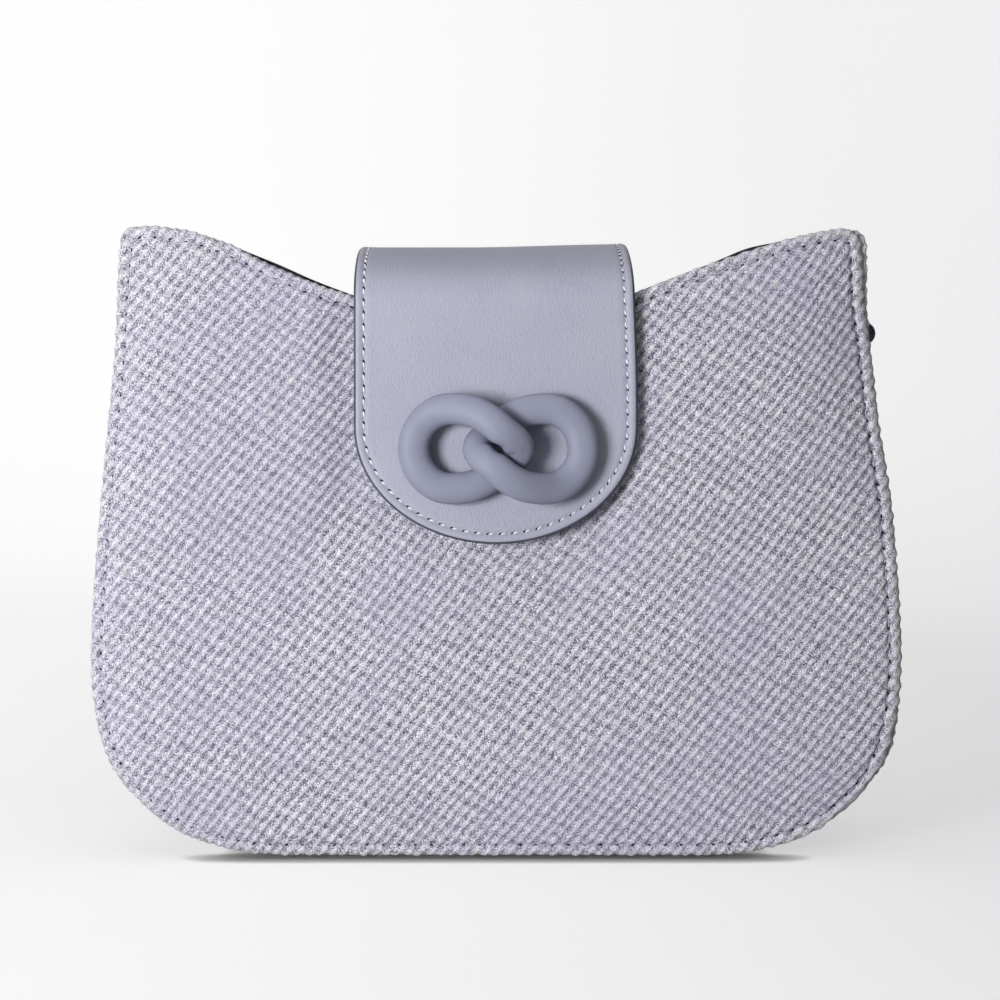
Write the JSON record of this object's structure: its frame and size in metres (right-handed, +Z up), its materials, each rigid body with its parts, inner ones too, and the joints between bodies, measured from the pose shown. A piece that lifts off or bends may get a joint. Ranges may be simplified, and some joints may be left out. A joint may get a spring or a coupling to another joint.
{
  "type": "half moon crossbody bag",
  "caption": "Half moon crossbody bag with woven panels, a leather flap over the open mouth, interlocked links on the flap and rings for a strap.",
  "frame": {"origin": "on the floor under the middle of the whole bag", "axes": "+X along the width, to the right as seen from the front; -Y is the front with the links; +Z up"},
  "size_m": [0.268, 0.1034, 0.2085],
  "materials": {
    "weave": "thick basket twill of lavender grey and off-white yarn",
    "flap_leather": "smooth fine-grained leather with dark painted edges",
    "lining": "plain dark lining cloth",
    "board": "stiff board, hidden",
    "link_resin": "matte moulded resin",
    "ring_metal": "dark gunmetal plating",
    "snap_steel": "nickel plated steel"
  },
  "bodies": {
    "bag_body": {"front_panel": "weave", "back_panel": "weave", "gusset": "weave", "front_stiffener": "board", "back_stiffener": "board", "base_board": "board", "front_lining": "lining", "back_lining": "lining", "gusset_lining": "lining", "flap_anchor": "flap_leather", "magnet_socket": "snap_steel", "socket_washer": "snap_steel", "left_ring_tab": "flap_leather", "right_ring_tab": "flap_leather"},
    "flap": {"flap_outer": "flap_leather", "flap_board": "board", "flap_lining": "flap_leather", "left_link": "link_resin", "right_link": "link_resin", "left_link_screw_upper": "snap_steel", "left_link_screw_lower": "snap_steel", "right_link_screw_upper": "snap_steel", "right_link_screw_lower": "snap_steel", "magnet_stud": "snap_steel", "stud_washer": "snap_steel"},
    "left_ring": {"left_d_ring": "ring_metal"},
    "right_ring": {"right_d_ring": "ring_metal"}
  },
  "joints": [
    {"name": "flap_fold", "type": "hinge", "parent": "bag_body", "child": "flap", "pos_m": [0, 0.04996, 0.18965], "axis": [-1, 0, 0], "range_deg": [0, 150]},
    {"name": "left_ring_swing", "type": "hinge", "parent": "bag_body", "child": "left_ring", "pos_m": [-0.12383, 0.01102, 0.17403], "axis": [0, 1, 0], "range_deg": [0, 175]},
    {"name": "right_ring_swing", "type": "hinge", "parent": "bag_body", "child": "right_ring", "pos_m": [0.12383, 0.01102, 0.17403], "axis": [0, -1, 0], "range_deg": [0, 175]}
  ]
}
